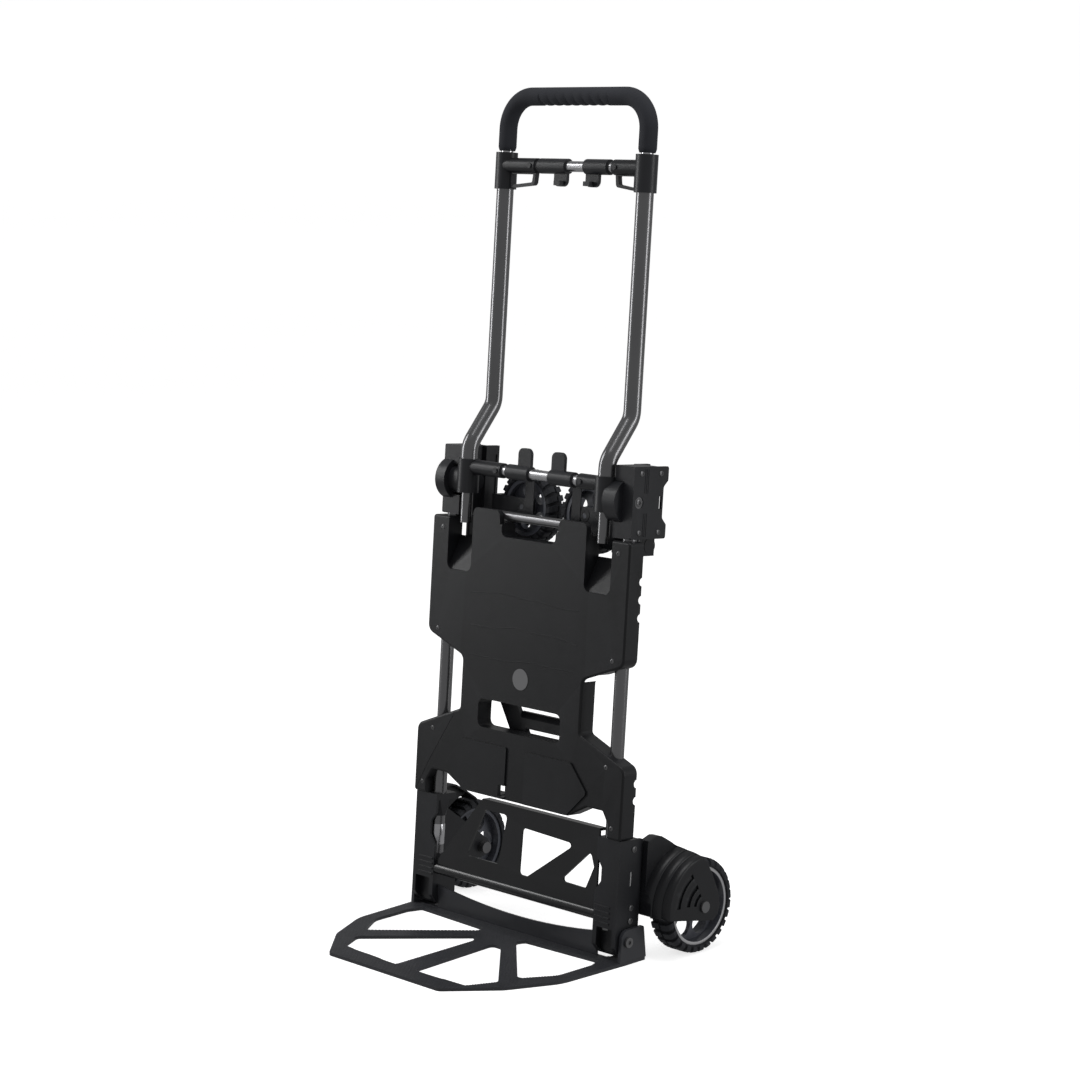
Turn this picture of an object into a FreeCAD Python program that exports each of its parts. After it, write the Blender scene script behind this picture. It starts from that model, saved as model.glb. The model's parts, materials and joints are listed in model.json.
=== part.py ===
import FreeCAD, Part
import math
import os

# Folding luggage cart, standing as a hand truck on its open toe plate and two rear wheels.
# Millimetres.  X is to the cart's left and right, -Y is where the toe plate points, +Z is up.
# The frame leans back by LEAN.  Its parts are drawn upright in frame axes, X across, Y depth
# (0 at the deck panel's front face, + to the back) and Z up the frame, and are leaned at the end.

V = FreeCAD.Vector
X_AXIS, Y_AXIS, Z_AXIS = V(1, 0, 0), V(0, 1, 0), V(0, 0, 1)

LEAN = 4.46
FIT = 0.05            # radial running clearance of pins and axles
GAP = 0.6             # gap between neighbouring covers

# toe plate, in upright axes
TOE_FRONT, TOE_BACK, TOE_HALF = -218.0, 58.0, 196.5
TOE_THICK = 4.0
TOE_HINGE_Y, TOE_HINGE_Z = 23.8, 30.0
BRACKET_IN, BRACKET_OUT = 191.5, 196.5

# rear wheels
REAR_RADIUS, REAR_WIDTH, REAR_X = 62.5, 36.0, 210.0
REAR_AXLE_Y = 128.0
REAR_HINGE_X, REAR_HINGE_V = 176.0, 34.0
REAR_BEAD, REAR_HUB, REAR_SPOKES = 52.0, 17.0, 6
AXLE_R = 5.0

# rear wheel covers
COVER_FRONT, COVER_IN, COVER_SKIN = 47.0, 184.5, 3.0
# radius of each step round the axle, and its outer face
COVER_STEPS = [(67.0, 234.0), (71.5, 223.0), (76.5, 211.0), (130.0, 198.0)]
# radius of each vent round the axle, its width, and its two ends above the axle
COVER_VENTS = [(53.0, 7.0, 3.0, 42.0), (34.5, 6.5, 3.0, 28.0), (20.5, 5.0, 3.0, 16.0)]

# front casters, folded inward behind the cross rod
FRONT_RADIUS, FRONT_WIDTH, FRONT_X = 50.0, 28.0, 57.0
FRONT_V, FRONT_W = 61.5, 561.0
FRONT_STEM_W = 533.0
FRONT_HINGE_X, FRONT_HINGE_V = 148.0, 43.3
FRONT_PIN_LOW, FRONT_PIN_TOP = 508.0, 566.0    # ends below the turning disc
FRONT_BEAD, FRONT_HUB, FRONT_SPOKES = 38.0, 13.0, 5
FORK_GAP, FORK_SKIN, STEM_R = FRONT_WIDTH / 2 + 1.3, 3.5, 6.0

# frame
TUBE_X, TUBE_V, TUBE_R = 161.0, 19.5, 9.0
TUBE_LOW, TUBE_HIGH = 42.0, 560.0
PANEL_DEPTH, PANEL_SKIN, PANEL_ROUND = 25.0, 4.0, 3.0
PANEL_HALF, SKIRT_HALF, NECK_HALF = 181.0, 192.0, 111.0
PANEL_LOW, PANEL_HIGH, EAR_HIGH = 163.0, 541.0, 558.0
GROOVE_IN, GROOVE_OUT, GROOVE_LOW = 104.0, 150.0, 471.0
POST_IN, POST_OUT, POST_LOW, POST_TOP = 150.0, 190.0, 12.0, 162.4
BLOCK_IN, BLOCK_OUT, BLOCK_LOW, BLOCK_HIGH = 141.0, 173.3, 544.0, 636.0
BLOCK_FRONT, BLOCK_MID, BLOCK_BACK = 8.0, 48.0, 72.0
CHANNEL_IN = 134.5      # inner face of the block's rear channel, clear of the folding tubes
HINGE_PIN_R, HINGE_PIN_LOW = 4.0, 46.0

# screws, as (X, Z) on the panel, (Y, Z) on a block and Z on a post
PANEL_SCREWS = [(161, 525.7), (161, 389), (161, 253), (176, 177)]
BLOCK_SCREWS = [(22, 552.3), (57.9, 552.3), (22, 627), (57.9, 627)]
POST_BOLTS = [57, 74, 150]
SCREW_R, BOLT_R, BOLT_V = 3.0, 2.5, 30.0

# handle
PIVOT_V, PIVOT_W, PIVOT_R = 20.0, 590.4, 5.0
HANDLE_X, HANDLE_R, HANDLE_BORE = 126.0, 11.25, 9.75
LOW_V, HIGH_V = 8.0, 48.3
BEND_LOW, BEND_HIGH, HANDLE_TOP = 639.0, 694.0, 1006.0
SLEEVE_R, ROD_R = 14.5, 7.0
LOW_ROD_V, LOW_ROD_W = 8.5, 609.7
HIGH_ROD_V, HIGH_ROD_W = 45.0, 1009.0
DISC_R, DISC_IN, DISC_OUT, HUB_R = 28.0, 134.5, 156.0, 20.0
ARM_R, ROD_END = 10.0, 102.0

# inner end of each arm on the cross rods, right (1) and left (-1); the rivet sits RIVET_INSET from it
UPPER_ARM_END = {1: 76.0, -1: 63.0}
LOWER_ARM_END = {1: 81.0, -1: 59.0}
RIVET_INSET, RIVET_R, RIVET_HEAD_R = 7.0, 2.5, 3.6

# strap hooks: ends of the barrel on the rod, right (1) and left (-1)
UPPER_HOOK = {1: (26.0, 67.0), -1: (8.0, 57.0)}
LOWER_HOOK = {1: (29.0, 70.0), -1: (9.0, 49.0)}
BARREL_R, TAB_WIDTH, TAB_THICK = 10.0, 23.0, 5.0
UPPER_TAB, LOWER_TAB, NOSE = -26.0, 33.0, 11.0
STUB_R, STUB_LOW = 7.75, 535.0

# grip
GRIP_TUBE_R, GRIP_R = 8.0, 12.0
GRIP_TOP, GRIP_BEND, GRIP_LEG = 1099.0, 42.0, 1028.0
GRIP_TUBE_LOW = 730.0

Y_SHIFT = -(TOE_FRONT + REAR_AXLE_Y + REAR_RADIUS) / 2


def box(x0, x1, y0, y1, z0, z1):
    return Part.makeBox(x1 - x0, y1 - y0, z1 - z0, V(x0, y0, z0))


def rod(start, direction, radius, length):
    return Part.makeCylinder(radius, length, V(*start), direction)


def ring(start, direction, outer, inner, length):
    return rod(start, direction, outer, length).cut(rod(start, direction, inner, length))


def join(shapes):
    whole = shapes[0]
    for shape in shapes[1:]:
        whole = whole.fuse(shape)
    return whole.removeSplitter()


def remove(shape, cutters):
    for cutter in cutters:
        shape = shape.cut(cutter)
    return shape


def mirrored(shape):
    return shape.mirror(V(0, 0, 0), X_AXIS)


def on_side(shape, side):
    """A right-hand shape, or its mirror image for the left."""
    return shape if side > 0 else mirrored(shape)


def outline(corners, plane="XZ", offset=0.0):
    """Face with corners (a, b, radius); each corner is rounded by its radius."""
    def point(a, b):
        if plane == "XZ":
            return V(a, offset, b)
        if plane == "YZ":
            return V(offset, a, b)
        return V(a, b, offset)

    count = len(corners)
    starts, middles, ends = [], [], []
    for index, (a, b, radius) in enumerate(corners):
        here = point(a, b)
        before = point(*corners[index - 1][:2])
        after = point(*corners[(index + 1) % count][:2])
        back = (before - here).normalize()
        ahead = (after - here).normalize()
        if radius == 0:
            starts.append(here)
            middles.append(None)
            ends.append(here)
            continue
        half_angle = back.getAngle(ahead) / 2
        reach = radius / math.tan(half_angle)
        bisector = (back + ahead).normalize()
        to_arc = radius / math.sin(half_angle) - radius
        starts.append(here + back * reach)
        middles.append(here + bisector * to_arc)
        ends.append(here + ahead * reach)
    edges = []
    for index in range(count):
        following = (index + 1) % count
        if middles[index]:
            edges.append(Part.Arc(starts[index], middles[index], ends[index]).toShape())
        if ends[index].distanceToPoint(starts[following]) > 1e-6:
            edges.append(Part.makeLine(ends[index], starts[following]))
    return Part.Face(Part.Wire(edges))


def plate(corners, y0, y1):
    """Outline in X and Z, from depth y0 to y1."""
    return outline(corners, "XZ", y0).extrude(V(0, y1 - y0, 0))


def side_plate(corners, x0, x1):
    """Outline in Y and Z, from x0 to x1."""
    return outline(corners, "YZ", x0).extrude(V(x1 - x0, 0, 0))


def flat_plate(corners, z0, z1):
    """Outline in X and Y, from z0 to z1."""
    return outline(corners, "XY", z0).extrude(V(0, 0, z1 - z0))


def both_halves(half):
    """Closed outline from a right half that runs from its bottom to its top."""
    return half + [(-a, b, radius) for a, b, radius in reversed(half)]


def bent_bar(points, radius, bend):
    """Round bar along points in one plane, with arcs of the bend radius."""
    path = [V(*point) for point in points]
    edges = []
    last = path[0]
    for index in range(1, len(path) - 1):
        back = (path[index - 1] - path[index]).normalize()
        ahead = (path[index + 1] - path[index]).normalize()
        half_angle = back.getAngle(ahead) / 2
        reach = bend / math.tan(half_angle)
        bisector = (back + ahead).normalize()
        start = path[index] + back * reach
        end = path[index] + ahead * reach
        middle = path[index] + bisector * (bend / math.sin(half_angle) - bend)
        edges.append(Part.makeLine(last, start))
        edges.append(Part.Arc(start, middle, end).toShape())
        last = end
    edges.append(Part.makeLine(last, path[-1]))
    profile = Part.Wire([Part.makeCircle(radius, path[0], (path[1] - path[0]).normalize())])
    return Part.Wire(edges).makePipeShell([profile], True, False)


def lean(shape):
    """Frame axes to the cart's own axes."""
    leaned = shape.copy()
    leaned.rotate(V(0, 0, 0), X_AXIS, -LEAN)
    leaned.translate(V(0, Y_SHIFT, 0))
    return leaned


def upright(shape):
    moved = shape.copy()
    moved.translate(V(0, Y_SHIFT, 0))
    return moved


def frame_place(y, z):
    """Depth and height in frame axes of an upright point."""
    turn = math.radians(LEAN)
    return y * math.cos(turn) - z * math.sin(turn), y * math.sin(turn) + z * math.cos(turn)


REAR_V, REAR_W = frame_place(REAR_AXLE_Y, REAR_RADIUS)
TOE_HINGE_V, TOE_HINGE_W = frame_place(TOE_HINGE_Y, TOE_HINGE_Z)


# ---- frame ----------------------------------------------------------------------------------

def panel_outline():
    skirt = [(97, 179, 6), (131, 196.5, 6), (158, 196.5, 4), (168, 181, 6), (168, PANEL_LOW, 0),
             (SKIRT_HALF, PANEL_LOW, 4), (SKIRT_HALF, 255, 12)]
    neck = [(NECK_HALF, 287, 6), (NECK_HALF, 358, 10)]
    shoulders = [(PANEL_HALF, 384, 13), (PANEL_HALF, PANEL_HIGH, 4), (GROOVE_IN, PANEL_HIGH, 0)]
    return both_halves(skirt + neck + shoulders)


def panel_body():
    """The whole moulding, before its lower left corner is split off."""
    body = plate(panel_outline(), 0, PANEL_DEPTH)
    front_edges = [edge for edge in body.Edges if edge.BoundBox.YMax < 0.01]
    body = body.makeFillet(PANEL_ROUND, front_edges)
    handle_gap = [(50, PANEL_HIGH + 1, 0), (49, 524.5, 8), (-49, 524.5, 8), (-50, PANEL_HIGH + 1, 0)]
    body = body.cut(plate(handle_gap, -1, PANEL_DEPTH + 1))
    hollows = [
        both_halves([(95, 314, 6), (NECK_HALF - 5, 352, 4), (176, 388, 8), (176, 466, 4),
                     (99, 466, 0)]),
        both_halves([(100, 184, 4), (133, 200.5, 4), (186, 200.5, 4),
                     (186, 251, 8), (108, 262, 4)]),
    ]
    skins = [plate(hollow, PANEL_SKIN, PANEL_DEPTH + 1) for hollow in hollows]
    skins.append(box(58, GROOVE_IN - 4, PANEL_SKIN * 2, PANEL_DEPTH + 1, 465, PANEL_HIGH + 1))
    skins.append(box(-GROOVE_IN + 4, -58, PANEL_SKIN * 2, PANEL_DEPTH + 1, 465, PANEL_HIGH + 1))
    for side in (1, -1):
        legs = box(172, 186, PANEL_SKIN, PANEL_DEPTH + 1, 168, 202)
        skins.append(on_side(legs, side))
    body = remove(body, skins)
    ears = [plate([(s * 52, 530, 0), (s * 104, 530, 0), (s * 104, EAR_HIGH, 8), (s * 55, EAR_HIGH, 8)],
                  0, PANEL_SKIN * 2) for s in (1, -1)]
    body = join([body] + ears)
    window = both_halves([(76, 269, 9), (76, 307, 9)])
    cutters = [plate(window, -1, PANEL_DEPTH + 1)]
    ramp = side_plate([(-1, GROOVE_LOW, 0), (3, GROOVE_LOW, 0), (26, 517, 0), (26, 545, 0), (-1, 545, 0)],
                      GROOVE_IN - 1, GROOVE_OUT + 1)
    groove = plate([(GROOVE_IN, GROOVE_LOW, 10), (GROOVE_OUT, GROOVE_LOW, 10),
                    (GROOVE_OUT, 545, 0), (GROOVE_IN, 545, 0)], -1, 26).common(ramp)
    cutters += [groove, mirrored(groove)]
    tube = rod((TUBE_X, TUBE_V, PANEL_LOW - 1), Z_AXIS, TUBE_R, 400)
    cutters += [tube, mirrored(tube)]
    for height in (491, 468, 445):
        cutters.append(rod((PANEL_HALF - 8, PANEL_DEPTH + 1, height), X_AXIS, 5.5, 20))
        cutters.append(rod((-PANEL_HALF - 8, PANEL_DEPTH + 1, height), X_AXIS, 5.5, 20))
    for height in (235, 213):
        cutters.append(rod((SKIRT_HALF - 8, PANEL_DEPTH + 1, height), X_AXIS, 5.5, 20))
        cutters.append(rod((-SKIRT_HALF - 8, PANEL_DEPTH + 1, height), X_AXIS, 5.5, 20))
    for x, z in PANEL_SCREWS:
        for side in (1, -1):
            cutters.append(rod((side * x, -1, z), Y_AXIS, 3.2, 1 + PANEL_SKIN))
    body = remove(body, cutters)
    label = [(17.5, 180, 1), (97, 180, 2), (131, 214, 5), (100, 249, 5), (17.5, 249, 2)]
    body = join([body, plate(label, -2, 0), mirrored(plate(label, -2, 0))])
    return body.cut(box(-29, -17.5, -3, PANEL_DEPTH, 183, 198))


def corner_region(gap):
    """Lower left corner of the panel, beyond a slanted seam."""
    return plate([(-121.4 - gap, 277.5, 0), (-167.1 - gap, 204.6, 0), (-186.4 - gap, 168.2, 0),
                  (-186.4 - gap, 150, 0), (-210, 150, 0), (-210, 300, 0), (-121.4 - gap, 300, 0)],
                 -4, PANEL_DEPTH + 2)


def deck_panel():
    body = panel_body().cut(corner_region(0))
    return max(body.Solids, key=lambda solid: solid.Volume)


def corner_cover():
    body = panel_body().common(corner_region(GAP))
    return max(body.Solids, key=lambda solid: solid.Volume)


def panel_screws():
    """Countersunk screw heads, flush with the panel's face."""
    screws = []
    for x, z in PANEL_SCREWS:
        for side in (1, -1):
            head = rod((side * x, 0.3, z), Y_AXIS, 3.2, 2.2)
            socket = rod((side * x, 0, z), Y_AXIS, 1.2, 1.5)
            screws.append(head.cut(socket))
    return Part.Compound(screws)


def emblem():
    """Plain round badge on the panel's face."""
    return rod((0, -0.5, 342), Y_AXIS, 14, 0.5)


def frame_tube(side):
    return on_side(ring((TUBE_X, TUBE_V, TUBE_LOW), Z_AXIS, TUBE_R, TUBE_R - 1.5, TUBE_HIGH - TUBE_LOW), side)


def post(side):
    """Channel at the foot of the frame: front plate, outer wall, cap and hinge block."""
    front = plate([(POST_IN, 24, 2), (POST_OUT, 24, 3), (POST_OUT, POST_TOP, 0), (POST_IN, POST_TOP, 0),
                   (POST_IN, 138, 2), (160, 124, 3), (160, 106, 3), (POST_IN, 92, 2)], 4, 8)
    wall = side_plate([(4, 24, 2), (14, POST_LOW, 3), (46, POST_LOW, 3), (46, POST_TOP, 3), (4, POST_TOP, 0)],
                      POST_OUT - 4, POST_OUT)
    cap = box(POST_IN, POST_OUT, 4, 40, 154, POST_TOP)
    block = side_plate([(4, 24, 2), (14, POST_LOW, 3), (46, POST_LOW, 3), (46, 58, 2), (4, 58, 0)],
                       POST_IN, POST_OUT)
    body = join([front, wall, cap, block])
    tube = rod((TUBE_X, TUBE_V, TUBE_LOW), Z_AXIS, TUBE_R, 200)
    toe_pin = rod((POST_IN - 20, TOE_HINGE_V, TOE_HINGE_W), X_AXIS, HINGE_PIN_R, 60)
    pin = rod((REAR_HINGE_X, REAR_HINGE_V, HINGE_PIN_LOW), Z_AXIS, HINGE_PIN_R, 200)
    slot = box(POST_OUT - 5, POST_OUT + 1, 26, 29, 102, 121)
    recess_in, recess_out, recess_low, recess_high = POST_IN + 7, POST_OUT - 6, 15, 47
    recess = plate([(recess_in, recess_low, 6), (recess_out, recess_low, 6), (recess_out, recess_high, 1),
                    (recess_in, recess_high, 1)], 3, 14)
    bolts = [rod((POST_OUT - 5, BOLT_V, z), X_AXIS, BOLT_R, 6) for z in POST_BOLTS]
    return on_side(remove(body, [tube, toe_pin, pin, slot, recess] + bolts), side)


def post_bushes(side):
    """Tapered bushes on the frame tube, above and below its bare stretch."""
    low = Part.makeCone(13, 10.5, 22, V(TUBE_X, TUBE_V, 58), Z_AXIS)
    high = Part.makeCone(10.5, 13, 22, V(TUBE_X, TUBE_V, 132), Z_AXIS)
    core = rod((TUBE_X, TUBE_V, 40), Z_AXIS, TUBE_R, 160)
    keep = box(POST_IN + 0.6, POST_OUT - 4, 8, 40, 40, 170)
    clear = rod((REAR_HINGE_X, REAR_HINGE_V, 50), Z_AXIS, 8, 110)
    bushes = [on_side(bush.cut(core).common(keep).cut(clear), side) for bush in (low, high)]
    return bushes


def web_plate():
    """Pressed web between the posts, with slanted ribs and a rolled bottom edge."""
    sheet = plate([(-149.5, 58, 0), (149.5, 58, 0), (149.5, 172, 3), (-66, 172, 4), (-149.5, 70, 4)], 8, 11)
    roll = rod((-149.5, 12, 61), X_AXIS, 8, 299)
    lip = plate([(-66, 168, 1), (149.5, 168, 1), (149.5, 172, 1), (-66, 172, 1)], 8, 20)
    openings = [
        [(-92, 90, 5), (-60, 158, 5), (-18, 158, 5), (-30, 90, 5)],
        [(9, 84, 5), (11, 147, 6), (108, 143, 4), (24, 84, 5)],
        [(84, 91, 4), (136, 139, 4), (143, 120, 4), (130, 90, 4)],
    ]
    cutters = [plate(opening, 0, 30) for opening in openings]
    body = remove(join([sheet, lip]), cutters)
    rib = plate([(70, 92, 1), (76, 92, 1), (137, 149, 1), (131, 149, 1)], 11, 20)
    return join([body, rib, roll])


def window_bracket():
    """Bracket on the back of the panel's neck: a slanted strut and a bar behind the window."""
    strut = plate([(-47, 264, 0), (-15, 264, 0), (-37, 300, 0), (-48, 318, 0), (-80, 318, 0)], 34, 41)
    bar = side_plate([(34, 271.5, 0), (45, 271.5, 0), (45, 292.5, 0), (39, 292.5, 0), (34, 285, 0)], -34, 86)
    end = box(78, 90, 25, 45, 271.5, 330)
    foot = box(-90, 90, PANEL_SKIN, 45, 316, 330)
    return join([strut, bar, end, foot])


def top_bar():
    """Carrying bail whose ends turn down behind the panel's two ears."""
    return bent_bar([(-93.5, 15, 468), (-93.5, 15, 550.5), (93.5, 15, 550.5), (93.5, 15, 468)], 6.2, 14)


def block(side):
    """Side housing that carries the handle's pivot; its rear is an open channel."""
    body = box(BLOCK_IN, BLOCK_OUT - 3, BLOCK_FRONT, BLOCK_MID, BLOCK_LOW, BLOCK_HIGH)
    inner_wall = box(CHANNEL_IN, BLOCK_IN, 50, BLOCK_BACK, BLOCK_LOW, BLOCK_HIGH)
    link = box(CHANNEL_IN, BLOCK_OUT - 3, BLOCK_MID, 54, BLOCK_LOW, BLOCK_HIGH)
    recess = box(CHANNEL_IN - 1, CHANNEL_IN + 1.5, 55, 68, 556, 624)
    cutters = [recess, rod((TUBE_X, TUBE_V, TUBE_LOW), Z_AXIS, TUBE_R, TUBE_HIGH - TUBE_LOW),
               rod((130, PIVOT_V, PIVOT_W), X_AXIS, PIVOT_R, 60),
               rod((FRONT_HINGE_X, FRONT_HINGE_V, 540), Z_AXIS, HINGE_PIN_R, FRONT_PIN_TOP - 540)]
    if side > 0:
        cutters.append(rod((CHANNEL_IN - 4, PIVOT_V, PIVOT_W), X_AXIS, DISC_R + 0.6, DISC_OUT + 4 - CHANNEL_IN))
    else:
        bulge = rod((DISC_OUT, PIVOT_V, PIVOT_W), X_AXIS, DISC_R, BLOCK_OUT - 3 - DISC_OUT)
        bulge = bulge.common(box(DISC_OUT, BLOCK_OUT, -20, BLOCK_MID, BLOCK_LOW, BLOCK_HIGH))
        body = join([body, bulge])
        cutters.append(rod((CHANNEL_IN - 4, PIVOT_V, PIVOT_W), X_AXIS, HUB_R + 0.6, DISC_OUT + 4 - CHANNEL_IN))
        hub_room = HUB_R + 0.6
        cutters.append(box(BLOCK_IN - 1, DISC_OUT - 1, -12, PIVOT_V, PIVOT_W - hub_room, PIVOT_W + hub_room))
    return on_side(remove(join([body, inner_wall, link]), cutters), side)


def block_cover(side):
    """Outer plate of the housing, with a scalloped rear edge."""
    body = side_plate([(BLOCK_FRONT, BLOCK_LOW, 2), (BLOCK_BACK, BLOCK_LOW, 3), (BLOCK_BACK, 562, 4),
                       (64, 570, 6), (64, 610, 6), (BLOCK_BACK, 618, 4), (BLOCK_BACK, BLOCK_HIGH, 3),
                       (BLOCK_FRONT, BLOCK_HIGH, 2)], BLOCK_OUT - 3, BLOCK_OUT)
    if side < 0:
        bulge = rod((BLOCK_OUT - 3, PIVOT_V, PIVOT_W), X_AXIS, DISC_R, 3)
        body = join([body, bulge.common(box(0, 200, -20, BLOCK_MID, BLOCK_LOW, BLOCK_HIGH))])
    cutters = [box(160, 180, 57, 61, 582, 598), rod((160, PIVOT_V, PIVOT_W), X_AXIS, PIVOT_R + 2.5, 20)]
    cutters += [rod((160, y, z), X_AXIS, SCREW_R, 20) for y, z in BLOCK_SCREWS]
    return on_side(remove(body, cutters), side)


def side_screws():
    """Button-head screws in the outer faces of the blocks and the posts."""
    screws = []
    for side in (1, -1):
        for y, z in BLOCK_SCREWS:
            screws.append(on_side(rod((BLOCK_OUT - 3, y, z), X_AXIS, SCREW_R, 3.8), side))
        for z in POST_BOLTS:
            shank = rod((POST_OUT - 4, BOLT_V, z), X_AXIS, BOLT_R, 4)
            head = rod((POST_OUT, BOLT_V, z), X_AXIS, 4, 1.2)
            screws.append(on_side(join([shank, head]), side))
    return Part.Compound(screws)


def pivot_pins():
    """Pins on which the handle folds."""
    pins = []
    for side in (1, -1):
        shank = rod((DISC_IN + 4, PIVOT_V, PIVOT_W), X_AXIS, PIVOT_R, BLOCK_OUT - 3 - DISC_IN - 4)
        head = rod((BLOCK_OUT - 3, PIVOT_V, PIVOT_W), X_AXIS, PIVOT_R + 2.5, 2)
        socket = rod((BLOCK_OUT - 2.5, PIVOT_V, PIVOT_W), X_AXIS, 2.5, 3)
        pins.append(on_side(join([shank, head]).cut(socket), side))
    return Part.Compound(pins)


def wheel_hinge_pins():
    """Upright pins on which the rear wheel arms and the front caster arms fold."""
    pins = []
    for side in (1, -1):
        rear = rod((REAR_HINGE_X, REAR_HINGE_V, HINGE_PIN_LOW), Z_AXIS, HINGE_PIN_R, POST_TOP - HINGE_PIN_LOW)
        front = rod((FRONT_HINGE_X, FRONT_HINGE_V, FRONT_PIN_LOW), Z_AXIS, HINGE_PIN_R,
                    FRONT_PIN_TOP - FRONT_PIN_LOW)
        pins += [on_side(rear, side), on_side(front, side)]
    return Part.Compound(pins)


def toe_hinge_bolts():
    bolts = []
    for side in (1, -1):
        shank = rod((POST_IN + 2, TOE_HINGE_Y, TOE_HINGE_Z), X_AXIS, 4, BRACKET_OUT + 0.4 - POST_IN - 2)
        head = rod((BRACKET_OUT + 0.4, TOE_HINGE_Y, TOE_HINGE_Z), X_AXIS, 6.5, 3)
        socket = rod((BRACKET_OUT + 2, TOE_HINGE_Y, TOE_HINGE_Z), X_AXIS, 2.5, 3)
        bolts.append(on_side(join([shank, head]).cut(socket), side))
    return Part.Compound(bolts)


# ---- toe plate ------------------------------------------------------------------------------

def toe_plate():
    """Open plate on the floor, with four cut-outs and an upturned rear flange."""
    edge = [(103, TOE_FRONT, 10), (158, -158, 45), (191, -90, 60), (TOE_HALF, 20, 40), (TOE_HALF, TOE_BACK, 3)]
    inner_edge = [(165, TOE_BACK, 3), (165, 22, 6)]
    body = flat_plate(both_halves(edge + inner_edge), 0, TOE_THICK)
    rear_openings = [(35, -16, 6), (144, -121, 6), (172, -77, 25), (173, -18, 10), (166, 2, 4), (40, -4, 6)]
    left_front = [(-6, -190, 4), (-112, -184, 6), (-130, -146, 6), (-22, -36, 4), (-8, -52, 6)]
    right_front = [(28, -190, 6), (118, -187, 8), (137, -148, 6), (36, -45, 6), (20, -45, 6)]
    left_rear = [(-a, b, r) for a, b, r in rear_openings]
    cutters = [flat_plate(opening, -1, 10) for opening in (rear_openings, left_rear, left_front, right_front)]
    body = remove(body, cutters)
    left_end, right_end = V(-188, 16, 44), V(188, 16, 44)
    left_foot, right_foot = V(-188, 16, 2), V(188, 16, 2)
    wire = Part.Wire([Part.Arc(left_end, V(0, 16, 25), right_end).toShape(), Part.makeLine(right_end, right_foot),
                      Part.makeLine(right_foot, left_foot), Part.makeLine(left_foot, left_end)])
    flange = Part.Face(wire).extrude(V(0, 3, 0))
    for side in (1, -1):
        flange = flange.cut(on_side(box(POST_IN - 1, 200, 0, 40, 4.5, 60), side))
    return join([body, flange])


def toe_bracket(side):
    """Ear that stands on the toe plate outside the post."""
    body = side_plate([(10, TOE_THICK, 0), (TOE_BACK, TOE_THICK, 0), (TOE_BACK - 4, 46, 3), (14, 46, 12)],
                      BRACKET_IN, BRACKET_OUT)
    hole = rod((BRACKET_IN - 1, TOE_HINGE_Y, TOE_HINGE_Z), X_AXIS, 4 + FIT, 10)
    return on_side(body.cut(hole), side)


# ---- handle ---------------------------------------------------------------------------------

def handle_tube(side):
    points = [(HANDLE_X, LOW_V, PIVOT_W + 2), (HANDLE_X, LOW_V, BEND_LOW), (HANDLE_X, HIGH_V, BEND_HIGH),
              (HANDLE_X, HIGH_V, HANDLE_TOP)]
    body = bent_bar(points, HANDLE_R, 28)
    bore = rod((HANDLE_X, HIGH_V, BEND_HIGH + 15), Z_AXIS, HANDLE_BORE, HANDLE_TOP)
    return on_side(body.cut(bore), side)


def strap_loop(arm_end):
    """Three-sided loop between the arm and the sleeve of one top corner."""
    sleeve_side = HANDLE_X - SLEEVE_R + 1
    outer = plate([(sleeve_side, 1001, 0), (arm_end + 2, 1001, 1), (arm_end + 4, 984, 5),
                   (sleeve_side, 979.5, 0)], 43, 50)
    inner = plate([(sleeve_side - 2, 998, 1), (arm_end + 7, 998, 1), (arm_end + 8.5, 987.5, 2.5),
                   (sleeve_side - 2, 983.5, 1)], 40, 54)
    return outer.cut(inner)


def upper_sleeve(side):
    """Top corner piece: sleeve, arm on the cross rod and strap loop."""
    sleeve = rod((HANDLE_X, HIGH_V, 978), Z_AXIS, SLEEVE_R, 48)
    end = UPPER_ARM_END[side]
    arm = rod((end, HIGH_ROD_V, HIGH_ROD_W), X_AXIS, ARM_R, HANDLE_X - end)
    body = join([sleeve, arm, strap_loop(end)])
    cutters = [rod((HANDLE_X, HIGH_V, 970), Z_AXIS, HANDLE_R, HANDLE_TOP - 970),
               rod((HANDLE_X, HIGH_V, 970), Z_AXIS, GRIP_TUBE_R + FIT, 80),
               rod((end - 1, HIGH_ROD_V, HIGH_ROD_W), X_AXIS, ROD_R, ROD_END - end + 1),
               rod((end + RIVET_INSET, HIGH_ROD_V - 12, HIGH_ROD_W), Y_AXIS, RIVET_R, 6)]
    return on_side(remove(body, cutters), side)


def lower_sleeve(side):
    """Lower corner piece: sleeve, arm on the cross rod and the disc on the fold pivot."""
    sleeve = rod((HANDLE_X, LOW_V, 575), Z_AXIS, SLEEVE_R, 45)
    end = LOWER_ARM_END[side]
    arm = rod((end, LOW_ROD_V, LOW_ROD_W), X_AXIS, ARM_R, HANDLE_X - end)
    disc_radius = DISC_R if side > 0 else HUB_R
    disc = rod((DISC_IN, PIVOT_V, PIVOT_W), X_AXIS, disc_radius, DISC_OUT - DISC_IN)
    hub = rod((HANDLE_X - 6, PIVOT_V, PIVOT_W), X_AXIS, 12, DISC_IN + 6 - HANDLE_X)
    body = join([sleeve, arm, disc, hub])
    cutters = [rod((HANDLE_X, LOW_V, PIVOT_W + 2), Z_AXIS, HANDLE_R, 60),
               rod((HANDLE_X, LOW_V, 560), Z_AXIS, STUB_R, PIVOT_W + 2 - 560),
               rod((end - 1, LOW_ROD_V, LOW_ROD_W), X_AXIS, ROD_R, ROD_END - end + 1),
               rod((DISC_IN + 3.9, PIVOT_V, PIVOT_W), X_AXIS, PIVOT_R + FIT, 40),
               rod((end + RIVET_INSET, LOW_ROD_V - 12, LOW_ROD_W), Y_AXIS, RIVET_R, 6)]
    return on_side(remove(body, cutters), side)


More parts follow.
